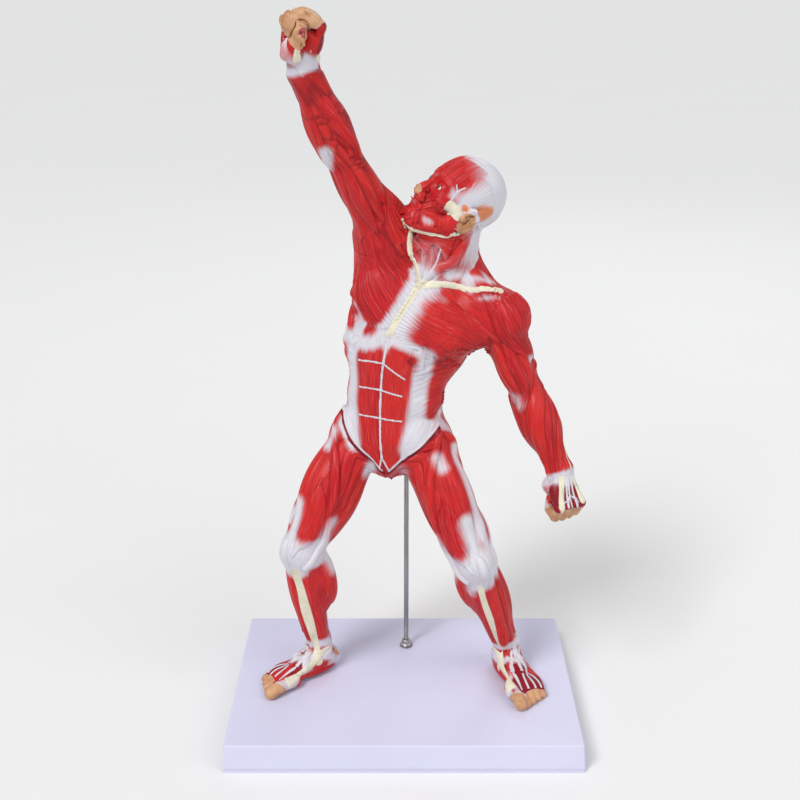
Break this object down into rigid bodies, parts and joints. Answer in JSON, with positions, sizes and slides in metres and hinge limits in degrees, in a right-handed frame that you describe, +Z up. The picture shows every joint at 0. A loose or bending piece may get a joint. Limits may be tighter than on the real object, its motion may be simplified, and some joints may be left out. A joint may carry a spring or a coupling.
{
  "type": "muscle figure model",
  "caption": "Standing human muscle figure with one arm raised, on a flat rectangular base with a steel support rod; head and arms turn at plug joints.",
  "frame": {"origin": "middle of the base's underside, on the surface it stands on", "axes": "+Z up; the figure faces -Y; its left side is +X"},
  "size_m": [0.251, 0.175, 0.4999],
  "materials": {
    "painted_vinyl": "hand-painted vinyl, red muscle with white tendons, satin lacquer",
    "white_vinyl": "unpainted moulded vinyl",
    "base_plastic": "moulded pale lavender plastic, fine satin grain",
    "steel": "zinc-plated steel"
  },
  "bodies": {
    "body_and_stand": {"base_panel": "base_plastic", "base_tray": "base_plastic", "deck_washer": "steel", "under_nut": "steel", "under_washer": "steel", "support_rod": "steel", "rod_sleeve": "steel", "trunk": "painted_vinyl", "left_leg": "painted_vinyl", "right_leg": "painted_vinyl", "left_foot": "painted_vinyl", "right_foot": "painted_vinyl", "left_hip_plug": "white_vinyl", "right_hip_plug": "white_vinyl", "left_ankle_plug": "white_vinyl", "right_ankle_plug": "white_vinyl", "foot_screw_left_1": "steel", "foot_screw_left_2": "steel", "foot_screw_right_1": "steel", "foot_screw_right_2": "steel", "foot_washer_left_1": "steel", "foot_washer_left_2": "steel", "foot_washer_right_1": "steel", "foot_washer_right_2": "steel", "panel_screw_1": "steel", "panel_screw_2": "steel", "panel_screw_3": "steel", "panel_screw_4": "steel"},
    "head": {"head": "painted_vinyl", "neck_plug": "white_vinyl"},
    "right_arm": {"right_arm": "painted_vinyl", "right_shoulder_plug": "white_vinyl", "right_hand": "painted_vinyl", "right_wrist_plug": "white_vinyl"},
    "left_arm": {"left_arm": "painted_vinyl", "left_shoulder_plug": "white_vinyl", "left_hand": "painted_vinyl", "left_wrist_plug": "white_vinyl"},
    "lock_nut": {"lock_nut": "steel"}
  },
  "joints": [
    {"name": "head_turn", "type": "hinge", "parent": "body_and_stand", "child": "head", "pos_m": [0.03, 0.033, 0.343], "axis": [0.3011, 0, 0.9536], "range_deg": [-10, 25]},
    {"name": "right_arm_turn", "type": "hinge", "parent": "body_and_stand", "child": "right_arm", "pos_m": [-0.014, 0.034, 0.35], "axis": [-0.4013, -0.3153, 0.86], "range_deg": [-20, 20]},
    {"name": "left_arm_turn", "type": "hinge", "parent": "body_and_stand", "child": "left_arm", "pos_m": [0.058, 0.022, 0.298], "axis": [0.9404, 0, -0.3401], "range_deg": [-20, 20]},
    {"name": "lock_nut_turn", "type": "hinge", "parent": "body_and_stand", "child": "lock_nut", "pos_m": [0.002, 0.044, 0.024], "axis": [0, 0, 1], "continuous": true}
  ]
}
